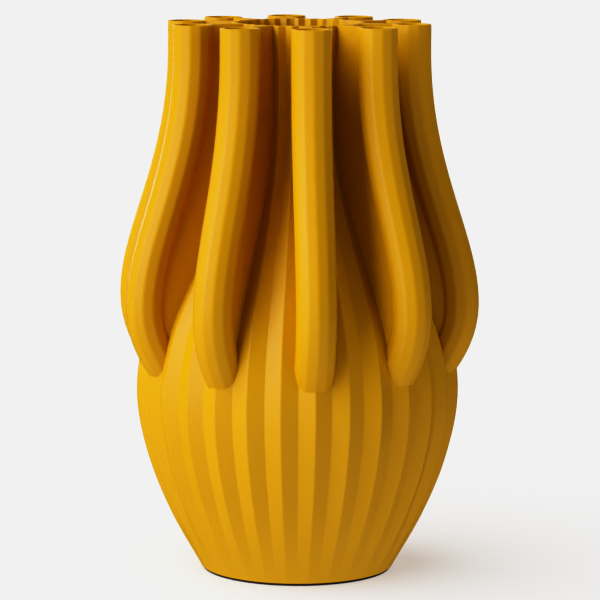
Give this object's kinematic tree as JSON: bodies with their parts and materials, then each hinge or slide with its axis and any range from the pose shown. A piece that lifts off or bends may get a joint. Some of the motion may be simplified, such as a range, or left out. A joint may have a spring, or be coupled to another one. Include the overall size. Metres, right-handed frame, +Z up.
{
  "type": "fluted vase",
  "caption": "Tall fluted vase with a narrow neck, ringed by ten hollow stem tubes that grow from the body, bulge out, rise level with the rim and are joined to it by webs.",
  "frame": {"origin": "centre of the underside of the base pad, on the surface the vase stands on", "axes": "+Z up along the vessel's axis; tube_01 stands towards -Y and the tubes are numbered anticlockwise seen from above"},
  "size_m": [0.1786, 0.1872, 0.28],
  "materials": {
    "yellow_plastic": "satin, fine horizontal print layers",
    "black_pad": "matt"
  },
  "bodies": {
    "root": {"vessel": "yellow_plastic", "tube_01": "yellow_plastic", "tube_02": "yellow_plastic", "tube_03": "yellow_plastic", "tube_04": "yellow_plastic", "tube_05": "yellow_plastic", "tube_06": "yellow_plastic", "tube_07": "yellow_plastic", "tube_08": "yellow_plastic", "tube_09": "yellow_plastic", "tube_10": "yellow_plastic", "web_01": "yellow_plastic", "web_02": "yellow_plastic", "web_03": "yellow_plastic", "web_04": "yellow_plastic", "web_05": "yellow_plastic", "web_06": "yellow_plastic", "web_07": "yellow_plastic", "web_08": "yellow_plastic", "web_09": "yellow_plastic", "web_10": "yellow_plastic", "base_pad": "black_pad"}
  },
  "joints": []
}
